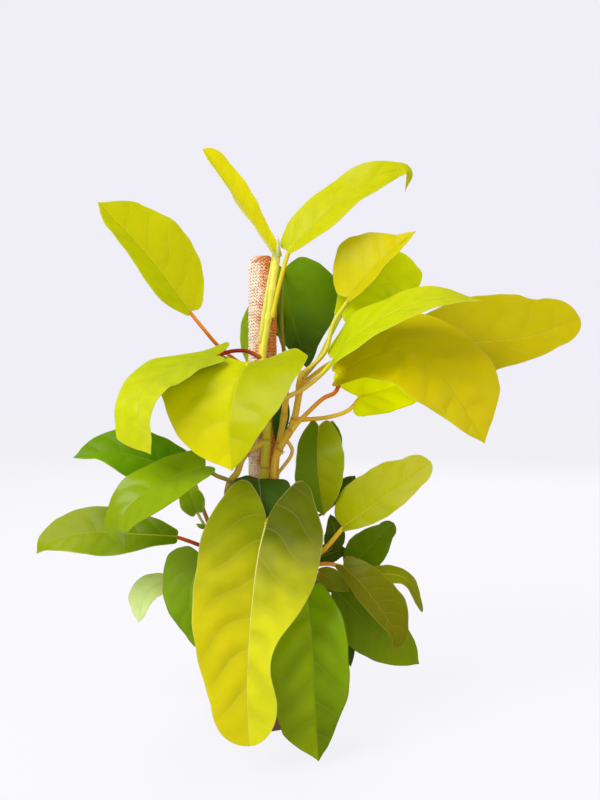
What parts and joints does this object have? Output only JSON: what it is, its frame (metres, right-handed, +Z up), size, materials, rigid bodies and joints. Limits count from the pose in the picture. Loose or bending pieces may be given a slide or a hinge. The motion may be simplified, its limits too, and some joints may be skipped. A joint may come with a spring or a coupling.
{
  "type": "potted golden philodendron on a coir pole",
  "caption": "Golden-leaved climbing philodendron with long heart-based leaves on orange petioles, tied up a coir pole in a round nursery pot.",
  "frame": {"origin": "middle of the pot's base, on the surface it stands on", "axes": "+Z up along the pole, -Y towards the front of the plant, +X to its right as seen from the front"},
  "size_m": [0.4658, 0.1826, 0.4961],
  "materials": {
    "leaf_gold": "satin",
    "leaf_lime": "satin",
    "leaf_olive": "satin",
    "leaf_green": "satin",
    "leaf_dark": "satin",
    "leaf_pale": "satin",
    "leaf_bronze": "satin",
    "stem": "satin",
    "coir": "matte",
    "wood": "matte",
    "soil": "matte",
    "pot": "satin"
  },
  "bodies": {
    "root": {"pot": "pot", "soil": "soil", "pole_coir_wrap": "coir", "pole_stake": "wood", "vine_centre": "stem", "vine_right": "stem", "vine_back": "stem", "vine_low": "stem", "leaf_crown_left": "leaf_gold", "leaf_crown_right": "leaf_lime", "leaf_upper_left": "leaf_lime", "leaf_behind_pole": "leaf_dark", "leaf_behind_pole_left": "leaf_green", "leaf_upper_right": "leaf_gold", "leaf_upper_right_rear": "leaf_lime", "leaf_long_right": "leaf_lime", "leaf_far_right": "leaf_olive", "leaf_drooping_right": "leaf_olive", "leaf_under_right": "leaf_lime", "leaf_heart_centre": "leaf_gold", "leaf_arching_left": "leaf_lime", "leaf_mid_left_rear": "leaf_green", "leaf_glossy_left": "leaf_green", "leaf_low_left": "leaf_olive", "leaf_small_left": "leaf_green", "leaf_hanging_left": "leaf_green", "leaf_pale_left": "leaf_pale", "leaf_large_front": "leaf_gold", "leaf_behind_large": "leaf_dark", "leaf_green_front": "leaf_green", "leaf_centre_right": "leaf_green", "leaf_centre_right_rear": "leaf_green", "leaf_olive_right": "leaf_olive", "leaf_dark_right_rear": "leaf_dark", "leaf_round_right": "leaf_dark", "leaf_bronze_right": "leaf_bronze", "leaf_curled_right": "leaf_green", "leaf_low_right": "leaf_dark", "leaf_low_strip": "leaf_dark", "leaf_dark_small": "leaf_dark", "leaf_dark_low": "leaf_dark", "leaf_bronze_small": "leaf_bronze", "leaf_inner": "leaf_dark"}
  },
  "joints": []
}
